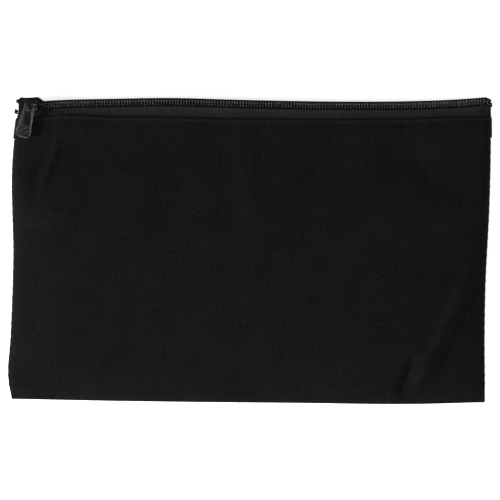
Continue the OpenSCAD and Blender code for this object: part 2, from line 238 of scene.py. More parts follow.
def thicken(obj, thickness):
    """Give a sheet its thickness, on the inner side, and bake it."""
    solid = obj.modifiers.new("thickness", "SOLIDIFY")
    solid.thickness = thickness * MM
    solid.offset = -1.0
    solid.use_even_offset = False
    baked(obj)
    obj.data.set_sharp_from_angle(angle=SHARP_EDGE)
    return obj


# %% [markdown]
# ## Cloth finishes
# Everything is black, so the finishes differ by how they catch light. The canvas is a matte plain weave,
# and the zip tape a finer, slightly lighter one. A picture of cloth would repeat and blur up close, so the
# yarns are two sets of sine waves that pass over and under each other. Slubs, which are thick places in a
# yarn, and patches of uneven dye come from noise. All of it follows the sheet's own map, as a weave does.


# %% Shader helpers
def node_math(tree, operation, first, second=None, clamp=False):
    node = tree.nodes.new("ShaderNodeMath")
    node.operation = operation
    node.use_clamp = clamp
    for socket, value in zip(node.inputs, (first, second)):
        if value is None:
            continue
        if isinstance(value, (int, float)):
            socket.default_value = value
        else:
            tree.links.new(value, socket)
    return node.outputs[0]


def noise(tree, place, scale, detail=3.0, stretch=None):
    """Cloudy noise from 0 to 1, stretched along one axis where asked."""
    if stretch:
        spread = tree.nodes.new("ShaderNodeMapping")
        spread.inputs["Scale"].default_value = stretch
        tree.links.new(place, spread.inputs["Vector"])
        place = spread.outputs[0]
    node = tree.nodes.new("ShaderNodeTexNoise")
    node.inputs["Scale"].default_value = scale
    node.inputs["Detail"].default_value = detail
    tree.links.new(place, node.inputs["Vector"])
    return node.outputs["Fac"]


def shade(tree, fac, dark, light):
    """Mix two colours by a factor."""
    mix = tree.nodes.new("ShaderNodeMix")
    mix.data_type = "RGBA"
    mix.inputs["A"].default_value = (*dark, 1)
    mix.inputs["B"].default_value = (*light, 1)
    tree.links.new(fac, mix.inputs["Factor"])
    return mix.outputs["Result"]


def bump_from(tree, height, strength, depth):
    """Let a height in the range 0 to 1 tilt the surface, with a depth in millimetres."""
    bump = tree.nodes.new("ShaderNodeBump")
    bump.inputs["Strength"].default_value = strength
    bump.inputs["Distance"].default_value = depth * MM
    tree.links.new(height, bump.inputs["Height"])
    return bump.outputs[0]


def grey(level):
    return (level, level, level)


# %% Woven cloth
SLUB_SCALE = 90.0
SLUB_STRETCH = 8.0
MOTTLE_SCALE = 700.0
PATCH_SCALE = 62.0
WEAVE_TINT = 0.4
SLUB_TINT = 0.5
PATCH_TINT = 0.5
# How much the painted highlight lightens the cloth
HIGHLIGHT_TINT = 0.6


def yarn_relief(tree, place, pitch_u, pitch_v):
    """Height of a plain weave from 0 to 1: two sets of round yarns that pass over and under."""
    level, swing = 0.6, 0.4
    split = tree.nodes.new("ShaderNodeSeparateXYZ")
    tree.links.new(place, split.inputs[0])
    wave_u = node_math(tree, "SINE", node_math(tree, "MULTIPLY", split.outputs[0], math.pi / pitch_u))
    wave_v = node_math(tree, "SINE", node_math(tree, "MULTIPLY", split.outputs[1], math.pi / pitch_v))
    over = node_math(tree, "MULTIPLY", wave_u, wave_v)
    lift = node_math(tree, "MULTIPLY", over, swing)
    warp_top = node_math(tree, "ADD", level, lift)
    weft_top = node_math(tree, "SUBTRACT", level, lift)
    warp = node_math(tree, "MULTIPLY", node_math(tree, "ABSOLUTE", wave_u), warp_top)
    weft = node_math(tree, "MULTIPLY", node_math(tree, "ABSOLUTE", wave_v), weft_top)
    return node_math(tree, "MAXIMUM", warp, weft)


def woven(name, dark, light, pitch_u, pitch_v, relief):
    """Cloth with its yarns, slubs, dye patches and a painted highlight, tinted between two colours."""
    mat = bpy.data.materials.new(name)
    mat.use_nodes = True
    tree = mat.node_tree
    cloth = tree.nodes["Principled BSDF"]
    place = tree.nodes.new("ShaderNodeTexCoord").outputs["UV"]
    weave = yarn_relief(tree, place, pitch_u * MM, pitch_v * MM)
    slub_u = noise(tree, place, SLUB_SCALE, 3.0, (SLUB_STRETCH, 1.0, 1.0))
    slub_v = noise(tree, place, SLUB_SCALE, 3.0, (1.0, SLUB_STRETCH, 1.0))
    slub = node_math(tree, "MULTIPLY", node_math(tree, "ADD", slub_u, slub_v), 0.5)
    raised = node_math(tree, "MULTIPLY", weave, WEAVE_TINT)
    thick = node_math(tree, "MULTIPLY", slub, SLUB_TINT)
    yarns = node_math(tree, "ADD", raised, thick)
    worn = node_math(tree, "SUBTRACT", noise(tree, place, MOTTLE_SCALE, 2.0), 0.5)
    patches = node_math(tree, "SUBTRACT", noise(tree, place, PATCH_SCALE, 2.0), 0.5)
    uneven = node_math(tree, "MULTIPLY", patches, PATCH_TINT)
    # Painted highlight: an attribute on the sheet lightens the cloth along the side seams and the hem's
    # fold edge
    painted_highlight = tree.nodes.new("ShaderNodeAttribute")
    painted_highlight.attribute_name = "painted_highlight"
    highlight_tone = node_math(tree, "MULTIPLY", painted_highlight.outputs["Fac"], HIGHLIGHT_TINT)
    mottle_dye_and_highlight = node_math(tree, "ADD", worn, node_math(tree, "ADD", uneven, highlight_tone))
    tone = node_math(tree, "ADD", yarns, mottle_dye_and_highlight, clamp=True)
    tree.links.new(shade(tree, tone, dark, light), cloth.inputs["Base Color"])
    height = node_math(tree, "ADD", weave, node_math(tree, "MULTIPLY", slub, 0.5))
    tree.links.new(bump_from(tree, height, 0.5, relief), cloth.inputs["Normal"])
    cloth.inputs["Roughness"].default_value = 0.92
    cloth.inputs["Specular IOR Level"].default_value = 0.06
    return mat


TAPE_DARK = (0.0086, 0.0086, 0.0078)
TAPE_LIGHT = (0.0238, 0.0238, 0.0219)
canvas_cloth = woven("black_canvas", grey(0.001), grey(0.0067), pitch_u=0.52, pitch_v=0.56, relief=0.14)
tape_cloth = woven("zip_tape_cloth", TAPE_DARK, TAPE_LIGHT, pitch_u=0.24, pitch_v=0.4, relief=0.08)
print("cloths", canvas_cloth.name, "and", tape_cloth.name)

# %% [markdown]
# ## Thread, nylon and metal
# The coil is satin nylon filament, the stitches are polyester thread, and the slider and its pull are zinc
# with black enamel. One colour and one roughness would look like plastic clay, so a fine fleck varies both.
# Thread that lies deep in the chain is almost matte and nearly black: painted shade in the chain's gaps.
# Enamel that hands have worn off shows the zinc, which is lightened further as a painted highlight.


# %% Plain finishes
def plain_finish(name, dark, light, rough, grain, relief, metal=0.0, gloss=0.5):
    """A finish whose fine flecks vary its colour, roughness and height."""
    mat = bpy.data.materials.new(name)
    mat.use_nodes = True
    tree = mat.node_tree
    body = tree.nodes["Principled BSDF"]
    place = tree.nodes.new("ShaderNodeTexCoord").outputs["Object"]
    fleck = noise(tree, place, grain)
    tree.links.new(shade(tree, fleck, dark, light), body.inputs["Base Color"])
    spread = node_math(tree, "ADD", node_math(tree, "MULTIPLY", fleck, 0.2), rough - 0.1)
    tree.links.new(spread, body.inputs["Roughness"])
    tree.links.new(bump_from(tree, fleck, 0.25, relief), body.inputs["Normal"])
    body.inputs["Metallic"].default_value = metal
    body.inputs["Specular IOR Level"].default_value = gloss
    return mat


NYLON = {"rough": 0.28, "grain": 900.0, "relief": 0.02, "gloss": 0.6}
THREAD = {"grain": 2500.0, "relief": 0.05}
ENAMEL = {"rough": 0.3, "grain": 700.0, "relief": 0.01, "gloss": 0.2}
ENAMEL_DARK = (0.003, 0.003, 0.0031)
ENAMEL_LIGHT = (0.007, 0.007, 0.0071)
# Bright zinc where the enamel is worn, with a painted highlight on the rims and rounds
ZINC = {"rough": 0.36, "grain": 500.0, "relief": 0.01, "metal": 0.6}
ZINC_DARK = (0.12, 0.12, 0.122)
ZINC_LIGHT = (0.36, 0.36, 0.365)

nylon = plain_finish("satin_nylon", grey(0.008), grey(0.022), **NYLON)
thread = plain_finish("sewing_thread", grey(0.006), grey(0.016), rough=0.6, gloss=0.3, **THREAD)
hem_thread = plain_finish("hem_thread", grey(0.002), grey(0.007), rough=0.7, gloss=0.1, **THREAD)
# Black thread made nearly black for the cord and the chain's stitching: painted shade in the chain's gaps
thread_with_painted_shade = plain_finish("matte_thread_with_painted_shade", grey(0.001), grey(0.003), rough=0.85, gloss=0.06, **THREAD)
enamel = plain_finish("black_enamel", ENAMEL_DARK, ENAMEL_LIGHT, **ENAMEL)
worn_zinc_highlight = plain_finish("worn_edge_highlight", ZINC_DARK, ZINC_LIGHT, **ZINC)
print("finishes", [finish.name for finish in (nylon, thread, hem_thread, thread_with_painted_shade, enamel, worn_zinc_highlight)])

# %% [markdown]
# ## The canvas sheet
# The whole pouch is one strip of canvas. Its path starts on the inside of the back hem, turns over the
# fold edge, runs down the back, round the bottom fold, up the front and over the front hem. Two separate
# panels would show a joint along the bottom fold, so the strip is one sheet, and Solidify gives it its
# thickness. The outline follows a few places measured on the photo, and named folds, each a ridge with a
# trough beside it, give the cloth its slack.

# %% Sizes of the sheet
panel_low, panel_high = mm_box("front_panel")
SEAM_Z = panel_low[2]
CROWN_Z = panel_high[2]
HEM_TOP = mm_box("front_topstitch")[0][2]
HEM_FOOT = mm_box("back_topstitch")[1][2]
CLOTH = 0.62
HEM_W = 9.0
FOLD_R = 0.7
CORNER_R = 0.7
ROLL = 0.45
COLUMNS = 181
PANEL_ROWS = 96

share = np.linspace(-1, 1, COLUMNS)
U = 0.55 * share + 0.45 * np.sin(share * math.pi / 2)
X_FLAT = U * (panel_high[0] - panel_low[0]) / 2
print("panel", np.round(panel_high - panel_low, 1), "mm")

# %% Outline and folds
# Side edges as (y, x), bottom and hem edges as (x, y)
LEFT_EDGE = [(-62, -100.2), (-55, -101.4), (-36, -100.5), (-4, -99.4), (38, -99.7), (50, -98.6),
             (57, -97.6)]
RIGHT_EDGE = [(-63, 98.7), (-36, 98.5), (-17, 98.8), (21, 100.6), (45, 101.1), (60, 101.0)]
BOTTOM_EDGE = [(-100, -62.6), (-60, -63.4), (21, -64.3), (75, -64.7), (98, -64.1)]
HEM_EDGE = [(-99, 55.4), (-90, 55.7), (-81, 56.7), (-66, 56.0), (-42, 55.7), (0, 54.9), (42, 54.8),
            (68, 55.2), (84, 55.7), (101, 55.9)]

# Each fold: start, end, height of its ridge, width, depth of the trough beside it, offset of the trough
FOLDS = {
    "upper_left": ((-79.5, 46.0), (-87.5, 25.0), 1.5, 1.8, 1.0, 3.0),
    "middle": ((-3.0, 50.0), (3.0, 8.0), 0.6, 5.0, 0.8, 9.0),
    "lower_right": ((92.5, -9.0), (68.0, -60.0), 2.2, 2.5, 0.5, -6.0),
    "lower_right_foot": ((72.0, -47.0), (65.5, -62.0), 0.3, 1.8, 1.5, 3.2),
    "upper_right": ((68.0, 49.0), (85.0, 34.0), 0.3, 5.0, 0.8, 7.0),
}

# Each slow wave of slack: height, length along x, length along y, start
SLACK_WAVES = ((0.22, 17, 23, 0.6), (0.16, 9.5, -31, 2.1), (0.12, 26, 11, 4.0))
GATHER = 0.12
GATHER_REACH = 4.0
FADE_OUT = 0.15
FADE_RUN = 0.4
TROUGH_WIDER = 1.4


def fold_lift(x, y, start, end, height, width, depth, offset):
    """Height that one fold adds: a ridge and a trough that fade out at both ends."""
    run = np.subtract(end, start)
    length = np.hypot(*run)
    along = ((x - start[0]) * run[0] + (y - start[1]) * run[1]) / length ** 2
    across = ((x - start[0]) * run[1] - (y - start[1]) * run[0]) / length
    fade = ease((along + FADE_OUT) / FADE_RUN) * ease((1 + FADE_OUT - along) / FADE_RUN)
    ridge = height * np.exp(-(across / width) ** 2)
    trough = depth * np.exp(-((across - offset) / (TROUGH_WIDER * width)) ** 2)
    return fade * (ridge - trough)


def slack(x, y):
    """Slow waves of cloth that lies loosely over the contents."""
    return sum(height * np.sin(x / run_x + y / run_y + start)
               for height, run_x, run_y, start in SLACK_WAVES)


def pucker(distance, along):
    """Small gathers that a line of stitches draws into the cloth beside it."""
    wave = np.sin(along / 1.15 + 0.8 * np.sin(along / 5.3)) + 0.5 * np.sin(along / 0.62 + 1.0)
    return GATHER * wave * np.exp(-distance / GATHER_REACH)


print("folds", list(FOLDS))

# %% Rows of the panels
HALF_WIDTH = 100
PANEL_RUN = 118
MOUTH_SHARE = 0.35
FOLD_ROOM = 0.9
CALM_EDGE = 7
# A higher power makes a flatter panel with steeper sides
FRONT_POWER = 6
BACK_POWER = 8
MOUTH_POWER = 80


def side_places(y, corner):
    """Places across the case at height y, pulled in by a corner's round."""
    left, right = through(LEFT_EDGE, y), through(RIGHT_EDGE, y)
    return (left + right) / 2 + U * ((right - left) / 2 - corner)


def bulge(q, power):
    """How far the panel stands off the seam plane: 1 in the middle, 0 at the seams and the fold."""
    p = power + (MOUTH_POWER - power) * (1 - ease(q / MOUTH_SHARE))
    return np.sqrt(1 - np.abs(U) ** p) * np.sqrt(max(0.0, 1 - q ** power))


def panel_row(side, q):
    """One row of cloth across the case, from the hem at q = 0 to the bottom fold at q = 1."""
    low = through(BOTTOM_EDGE, X_FLAT)
    hem = through(HEM_EDGE, X_FLAT) - HEM_W
    y = hem + (low - hem) * q
    up = np.clip(y - low, 0, CORNER_R)
    x = side_places(y, CORNER_R - np.sqrt(CORNER_R ** 2 - (CORNER_R - up) ** 2))
    open_q = ease(q / MOUTH_SHARE)
    base = ROLL * (1 - q ** 12)
    if side > 0:
        top = HEM_TOP + (CROWN_Z - FOLD_ROOM - HEM_TOP) * open_q
        z = SEAM_Z + base + (top - SEAM_Z - base) * bulge(q, FRONT_POWER)
        edge = np.minimum(HALF_WIDTH - np.abs(x), y - low)
        folds = sum(fold_lift(x, y, *fold) for fold in FOLDS.values())
        lift = slack(x, y) * (0.25 + 0.75 * open_q) + folds * (0.7 + 0.3 * open_q)
        z = z + lift * ease(edge / CALM_EDGE) + pucker(HALF_WIDTH - np.abs(x), y)
        z = z + pucker(q * PANEL_RUN + 2, x) * 0.8
    else:
        foot = HEM_FOOT * (1 - open_q)
        z = SEAM_Z - base - (SEAM_Z - base - foot) * bulge(q, BACK_POWER)
    return np.stack([x, y, z], axis=-1)


# %% Rows of the hems
INNER_INSETS = (8.6, 6.5, 4.5, 2.8, 1.5)
FOLD_ANGLES = (0, 30, 60, 90, 120, 150, 180)
# Inset from the fold edge, and how deep the topstitch draws the cloth in there
DRAWN_IN = {1.1: 0.06, 1.6: 0.2, 2.1: 0.26, 2.8: 0.2, 3.8: 0.08, 5.0: 0.0, 6.6: 0.0, 7.9: 0.0}
SEAM_GAP = 0.08


def hem_row(side, inset, depth):
    """One row of the hem: inset from the fold edge, depth below the outer face."""
    outer = panel_row(side, 0.0)
    y = through(HEM_EDGE, X_FLAT) - inset
    z = outer[:, 2] - side * depth
    z = SEAM_Z + side * np.maximum(side * (z - SEAM_Z), SEAM_GAP)
    return np.stack([side_places(y, 0.0), y, z], axis=-1)


def hem_rows(side):
    """From the raw edge inside, round the fold edge and back over the outer face."""
    hem = [hem_row(side, inset, 2 * FOLD_R) for inset in INNER_INSETS]
    for angle in np.radians(FOLD_ANGLES):
        hem.append(hem_row(side, FOLD_R * (1 - math.sin(angle)), FOLD_R * (1 + math.cos(angle))))
    hem += [hem_row(side, inset, depth) for inset, depth in DRAWN_IN.items()]
    return hem


# %% All rows, with the cloth turned in at the sides
TURN_IN = 2.0
GROOVE_HALF = 0.1
TUCK_REACH = 3
NEAR_IN, NEAR_UP = 0.3, 0.5
FAR_IN, FAR_UP = 1.2, 0.8
steps = 1 - (1 - np.linspace(0, 1, PANEL_ROWS)) ** 2
back_rows = hem_rows(-1) + [panel_row(-1, q) for q in steps]
front_rows = hem_rows(1) + [panel_row(1, q) for q in steps[:-1]]
cloth_points = np.array(back_rows + front_rows[::-1])

# Two narrow columns at each side turn the cloth in, so that the seam sits in a groove
columns = [cloth_points]
for end, way in ((0, 1), (-1, -1)):
    rim = cloth_points[:, end]
    drop = np.sign(rim[:, 2] - SEAM_Z) * np.minimum(np.abs(rim[:, 2] - SEAM_Z), GROOVE_HALF)
    tuck = ease(1 - (rim[:, 1] - rim[:, 1].min()) / TUCK_REACH)
    near = np.stack([rim[:, 0] + way * NEAR_IN, rim[:, 1] + NEAR_UP * tuck, SEAM_Z + drop], axis=-1)
    far = near + np.stack([np.full(len(rim), way * FAR_IN), FAR_UP * tuck, np.zeros(len(rim))], axis=-1)
    turned = [far[:, None], near[:, None]] if end == 0 else [near[:, None], far[:, None]]
    columns = turned + columns if end == 0 else columns + turned
cloth_points = np.concatenate(columns, axis=1)
turned_left = [X_FLAT[0] - TURN_IN, X_FLAT[0] - TURN_IN / 2]
turned_right = [X_FLAT[-1] + TURN_IN / 2, X_FLAT[-1] + TURN_IN]
across = np.concatenate([turned_left, X_FLAT, turned_right])
sheet_map = path_map(cloth_points, across)
print("canvas rows and columns", cloth_points.shape[:2])

# %% [markdown]
# ## Painted highlight on the canvas
# Where the cloth bends over a side seam or a hem's fold edge it catches the light, and a painted highlight
# lightens the black canvas there. Painting that by hand would need a picture file, so each point of the
# sheet
# carries a number instead: how strongly it is lightened. The canvas finish reads it as an attribute and
# lightens the cloth.

# %% Build the sheet
# Painted highlight along both side seams and just below each hem's fold edge, where those rounded edges
# catch light
SIDE_HIGHLIGHT_REACH = 1.8
SIDE_HIGHLIGHT_TINT = 0.6
HEM_HIGHLIGHT_REACH = 0.6
from_side = (1 - np.abs(U)) * X_FLAT[-1]
side_highlight = SIDE_HIGHLIGHT_TINT * np.concatenate([[1, 1], np.exp(-from_side / SIDE_HIGHLIGHT_REACH), [1, 1]])
along_sheet = sheet_map[:, 0, 1] / MM
last_fold_row = len(INNER_INSETS) + len(FOLD_ANGLES) - 1
below_fold = (last_fold_row, len(cloth_points) - 1 - last_fold_row)
hem_highlight = sum(np.exp(-((along_sheet - along_sheet[row]) / HEM_HIGHLIGHT_REACH) ** 2) for row in below_fold)

canvas = new_object("canvas_sheet", grid_mesh("canvas_sheet", cloth_points, sheet_map))
highlight_strength = np.maximum(side_highlight[None, :], hem_highlight[:, None])
canvas.data.attributes.new("painted_highlight", "FLOAT", "POINT").data.foreach_set("value", highlight_strength.ravel())
thicken(canvas, CLOTH)
canvas.data.materials.append(canvas_cloth)
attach(canvas, "pouch")
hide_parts("front_panel", "back_panel")

# %% [markdown]
# ## The line of the zip
# The chain is fed to the machine by hand, so it wanders a little along the top edge. At the right end it
# bends round the corner and runs down into the side seam. A curve object could hold this line, but tapes,
# coils, cords and stitches all need places beside it too. So it is kept as points with their lengths, and
# `on_line` gives the place and the directions at any length.

# %% Sizes of the chain
coil_low, coil_high = mm_box("front_coil")
slider_low, slider_high = mm_box("slider_body")
CHAIN_FOOT = coil_low[2]
COIL_H = coil_high[2] - coil_low[2]
CHAIN_Y = (slider_low[1] + slider_high[1]) / 2
SLIDER_X = (slider_low[0] + slider_high[0]) / 2
SLIDER_HALF = (slider_high[1] - slider_low[1]) / 2
PITCH = 1.18
CHAIN_W = 3.4
SPREAD = 1.3
TAPE = 0.45
print("chain", CHAIN_W, "by", round(COIL_H, 2), "mm, a turn every", PITCH, "mm")

# %% Path of the chain
LINE_START = -97.8
LINE_STEP = 0.2
ARC_START = 98.4
ARC_R = 1.3
ARC_TURN = math.radians(80)
TAIL = 0.7
LEFT_DIP = 2.0
RIGHT_DIP = 2.9
CHAIN_LINE = [(-99, CHAIN_Y), (-90, CHAIN_Y), (-86, 60.6), (-78, 61.1), (-60, 61.5), (-33, 61.9),
              (-6, 61.2), (21, 60.6), (41, 60.4), (68, 60.6), (88, 61.4), (ARC_START, 62.2)]

straight_x = np.arange(LINE_START, ARC_START, LINE_STEP)
straight = np.stack([straight_x, through(CHAIN_LINE, straight_x)], axis=-1)
turn = np.linspace(0.04, ARC_TURN, 16)
last_y = straight[-1, 1]
arc = np.stack([ARC_START + ARC_R * np.sin(turn), last_y - ARC_R * (1 - np.cos(turn))], axis=-1)
tail_run = np.linspace(0.15, TAIL, 12)[:, None]
tail = arc[-1] + tail_run * np.array([math.cos(ARC_TURN), -math.sin(ARC_TURN)])
line = np.concatenate([straight, arc, tail])
run = np.concatenate([[0], np.cumsum(np.linalg.norm(np.diff(line, axis=0), axis=1))])
arc_run = run[len(straight)]
dip = RIGHT_DIP * ease((run - arc_run + 1.0) / 5.5)
line_z = CHAIN_FOOT - dip - LEFT_DIP * ease((-96.8 - line[:, 0]) / 1.6)
line = np.column_stack([line, line_z])

# %% Places on the line
# How far ahead and behind to look for the direction of the line
LOOK = 0.4
WEDGE_AHEAD = 1.5
WEDGE_RUN = 4.5
FRONT_FROM = -97.5
BACK_FROM = -96.4


def on_line(s):
    """Place, direction and sideways direction of the zip's line, at lengths s along it."""
    s = np.atleast_1d(np.asarray(s, float))
    place = np.stack([np.interp(s, run, line[:, k]) for k in range(3)], axis=-1)
    ahead = np.stack([np.interp(s + LOOK, run, line[:, k]) for k in range(3)], axis=-1)
    behind = np.stack([np.interp(s - LOOK, run, line[:, k]) for k in range(3)], axis=-1)
    along = ahead - behind
    along /= np.linalg.norm(along, axis=1)[:, None]
    side = np.stack([-along[:, 1], along[:, 0], np.zeros(len(s))], axis=-1)
    side /= np.linalg.norm(side, axis=1)[:, None]
    return place, along, side


def parted(x):
    """The slider's wedge spreads the two coils apart."""
    return SPREAD * ease((SLIDER_X + WEDGE_AHEAD - x) / WEDGE_RUN)


ZIP_START = np.interp(FRONT_FROM, line[:, 0], run)
BACK_START = np.interp(BACK_FROM, line[:, 0], run)
ZIP_END = run[-1]
ZIP_MIDDLE = (ZIP_START + ZIP_END) / 2
print("zip line", round(ZIP_END - ZIP_START, 1), "mm")

# %% [markdown]
# ## Zip tapes
# Each tape is one woven strip. The front one lies under the front hem and reaches to the middle of the
# chain. The back one turns down behind the chain and runs back under the hem of the back panel. A curve
# with a flat section would twist at the corner, so each strip is a grid: rows along the zip, one for every
# step across the tape. The front one comes in two halves, split at the middle of the zip.

# %% Shape of the tapes
TAPE_STEP = 0.7
TAPE_GAP = 0.05
COIL_SEAT = 0.15
MARGIN = 5.5
TAPE_BEND = 0.6
TAPE_SAG = 0.65
TAPE_DIP = 3.0


def hem_line(place):
    """Where the tape passes under the hem, for each place on the zip's line."""
    over = ease((place[:, 0] - 95.0) / 5.0)
    x = place[:, 0] + 1.5 * over
    return x, through(HEM_EDGE, x)


def margin_depth(x):
    """Width of the margin under the hem, which is cut off towards both ends."""
    return MARGIN * (1 - ease((np.abs(x) - 80) / 12)) + 0.6


def front_tape_points(s):
    """Rows of the front tape, from its margin under the hem to the middle of the chain."""
    place, _, side = on_line(s)
    x, hem_y = hem_line(place)
    under_hem = HEM_TOP - 2 * FOLD_R - TAPE_GAP
    z_hem = under_hem - TAPE_DIP * ease((x - 95.5) / 4.5) - LEFT_DIP * ease((-96.6 - x) / 1.6)
    round_corner = ease((np.asarray(s) - arc_run) / 2.0)
    edge = place - side * (COIL_SEAT + parted(place[:, 0]) - 1.5 * round_corner)[:, None]
    edge[:, 0] += 0.9 * ease((-94 - x) / 4)
    edge[:, 2] -= 0.02
    rows = [np.stack([x, hem_y - margin_depth(x) * part, z_hem], axis=-1) for part in (1.0, 0.6, 0.2)]
    rim = np.stack([x, hem_y + 0.2, z_hem], axis=-1)
    for part in np.linspace(0, 1, 9):
        sag = np.array([0, 0, -TAPE_SAG * math.sin(math.pi * part)])
        rows.append(rim + (edge - rim) * part + sag)
    return np.array(rows)


# %% Back tape
def back_tape_points(s):
    """Rows of the back tape, from the middle of the chain, down behind it and in under the back hem."""
    place, _, side = on_line(s)
    x, hem_y = hem_line(place)
    beside_slider = ease((SLIDER_X + 7.0 - place[:, 0]) / 3.0) * ease((place[:, 0] + 98.0) / 3.0)
    wide = CHAIN_W / 2 - 0.6 + (SLIDER_HALF - CHAIN_W / 2 + 0.35) * beside_slider
    low_z = HEM_FOOT + 2 * FOLD_R + TAPE + TAPE_GAP
    rows = [place + side * (COIL_SEAT + parted(place[:, 0]))[:, None]]
    rows.append(place + side * wide[:, None] * 0.6)
    for angle in np.radians([90, 60, 30, 0]):
        step = (wide + 0.5 - TAPE_BEND + TAPE_BEND * math.cos(angle))[:, None]
        rows.append(place + side * step + np.array([0, 0, TAPE_BEND * (math.sin(angle) - 1)]))
    wall = rows[-1]
    foot = wall.copy()
    foot[:, 2] = np.minimum(low_z + TAPE_BEND, wall[:, 2] - 0.3)
    for part in (0.33, 0.67, 1.0):
        rows.append(wall + (foot - wall) * part)
    for angle in np.radians([-30, -60, -90]):
        inward = side * (TAPE_BEND * (math.cos(angle) - 1))
        rows.append(foot + inward + np.array([0, 0, TAPE_BEND * math.sin(angle)]))
    end = np.stack([x, hem_y - margin_depth(x), rows[-1][:, 2]], axis=-1)
    start = rows[-1]
    for part in (0.3, 0.6, 0.8, 1.0):
        rows.append(start + (end - start) * part)
    return np.array(rows)


# %% Build the tapes
def tape_strip(name, maker, first, last):
    s = np.unique(np.concatenate([np.arange(first, last, TAPE_STEP), [last]]))
    points = maker(s)
    obj = new_object(name, grid_mesh(name, points, path_map(points, s)))
    thicken(obj, TAPE)
    obj.data.materials.append(tape_cloth)
    return obj


def lip_bend(obj, half):
    """Bake a front piece's place into its mesh. The lip is not bent open."""
    end_s = ZIP_START if half == "left" else ZIP_END
    start, middle = on_line(end_s)[0][0] * MM, on_line(ZIP_MIDDLE)[0][0] * MM
    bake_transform(obj)


HALVES = {"left": (0.0, ZIP_MIDDLE), "right": (ZIP_MIDDLE, ZIP_END)}
for half, (first, last) in HALVES.items():
    strip = tape_strip("front_tape_" + half, front_tape_points, first, last)
    lip_bend(strip, half)
    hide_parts("front_zip_tape")
back_strip = tape_strip("back_tape", back_tape_points, BACK_START, ZIP_END)
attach(back_strip, "pouch")
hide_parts("back_zip_tape")
print("tapes", len(HALVES), "front halves and one back strip")

# %% [markdown]
# ## Repeating shapes
# Coil turns and stitches repeat hundreds of times. An Array modifier on a curve would stretch them, so one
# Geometry Nodes group places a small shape on every point of a guide. Each point carries two directions,
# along the line and up from the cloth, and the group turns the shape to both. The result becomes a plain
# mesh, because the export drops instances.

# %% Geometry Nodes group that repeats a shape along a guide
REPEAT_INPUTS = {"Guide": "Geometry", "Shape": "Object", "Size": "Float", "Finish": "Material"}


def repeat_group():
    group = bpy.data.node_groups.new("repeat_along_guide", "GeometryNodeTree")
    sockets = group.interface
    for label, kind in REPEAT_INPUTS.items():
        sockets.new_socket(label, in_out="INPUT", socket_type="NodeSocket" + kind)
    sockets.new_socket("Result", in_out="OUTPUT", socket_type="NodeSocketGeometry")
    add, link = group.nodes.new, group.links.new
    inputs, outputs = add("NodeGroupInput"), add("NodeGroupOutput")
    shape = add("GeometryNodeObjectInfo")
    link(inputs.outputs["Shape"], shape.inputs["Object"])
    turn = None
    for label, axis, pivot in (("along", "X", "AUTO"), ("up", "Z", "X")):
        read = add("GeometryNodeInputNamedAttribute")
        read.data_type = "FLOAT_VECTOR"
        read.inputs["Name"].default_value = label
        align = add("FunctionNodeAlignRotationToVector")
        align.axis = axis
        align.pivot_axis = pivot
        link(read.outputs["Attribute"], align.inputs["Vector"])
        if turn:
            link(turn, align.inputs["Rotation"])
        turn = align.outputs["Rotation"]
    place = add("GeometryNodeInstanceOnPoints")
    link(inputs.outputs["Guide"], place.inputs["Points"])
    link(shape.outputs["Geometry"], place.inputs["Instance"])
    link(turn, place.inputs["Rotation"])
    link(inputs.outputs["Size"], place.inputs["Scale"])
    whole = add("GeometryNodeRealizeInstances")
    link(place.outputs["Instances"], whole.inputs["Geometry"])
    finish = add("GeometryNodeSetMaterial")
    link(whole.outputs["Geometry"], finish.inputs["Geometry"])
    link(inputs.outputs["Finish"], finish.inputs["Material"])
    link(finish.outputs["Geometry"], outputs.inputs["Result"])
    return group


REPEAT = repeat_group()
print("repeat group with", len(REPEAT.nodes), "nodes")


# %% Repeat a shape on a list of places
def repeat(name, shape, finish, places, along, up, size=1.0):
    """Put a shape on every place, with its X axis along and its Z axis up, as one plain mesh."""
    guide = bpy.data.meshes.new(name)
    guide.from_pydata((np.asarray(places) * MM).tolist(), [], [])
    for label, values in (("along", along), ("up", up)):
        spread = np.broadcast_to(np.asarray(values, np.float32), (len(places), 3))
        guide.attributes.new(label, "FLOAT_VECTOR", "POINT").data.foreach_set("vector", spread.ravel())
    obj = new_object(name, guide)
    modifier = obj.modifiers.new("repeat", "NODES")
    modifier.node_group = REPEAT
    values = {"Shape": shape, "Size": size, "Finish": finish}
    for socket in REPEAT.interface.items_tree:
        if socket.in_out == "INPUT" and socket.name in values:
            modifier[socket.identifier] = values[socket.name]
    baked(obj)
    for label in ("along", "up"):
        if label in obj.data.attributes:
            obj.data.attributes.remove(obj.data.attributes[label])
    obj.data.polygons.foreach_set("use_smooth", np.ones(len(obj.data.polygons), dtype=bool))
    return obj


# %% [markdown]
# ## Small shapes
# A real coil is one filament wound round and round, and every stitch is a bit of thread that dives into the
# cloth at both ends. Both are thin tubes along a short path. A bevelled curve would do as well, but a tube
# built ring by ring has just the faces that it needs and can swell where the coil's head does.


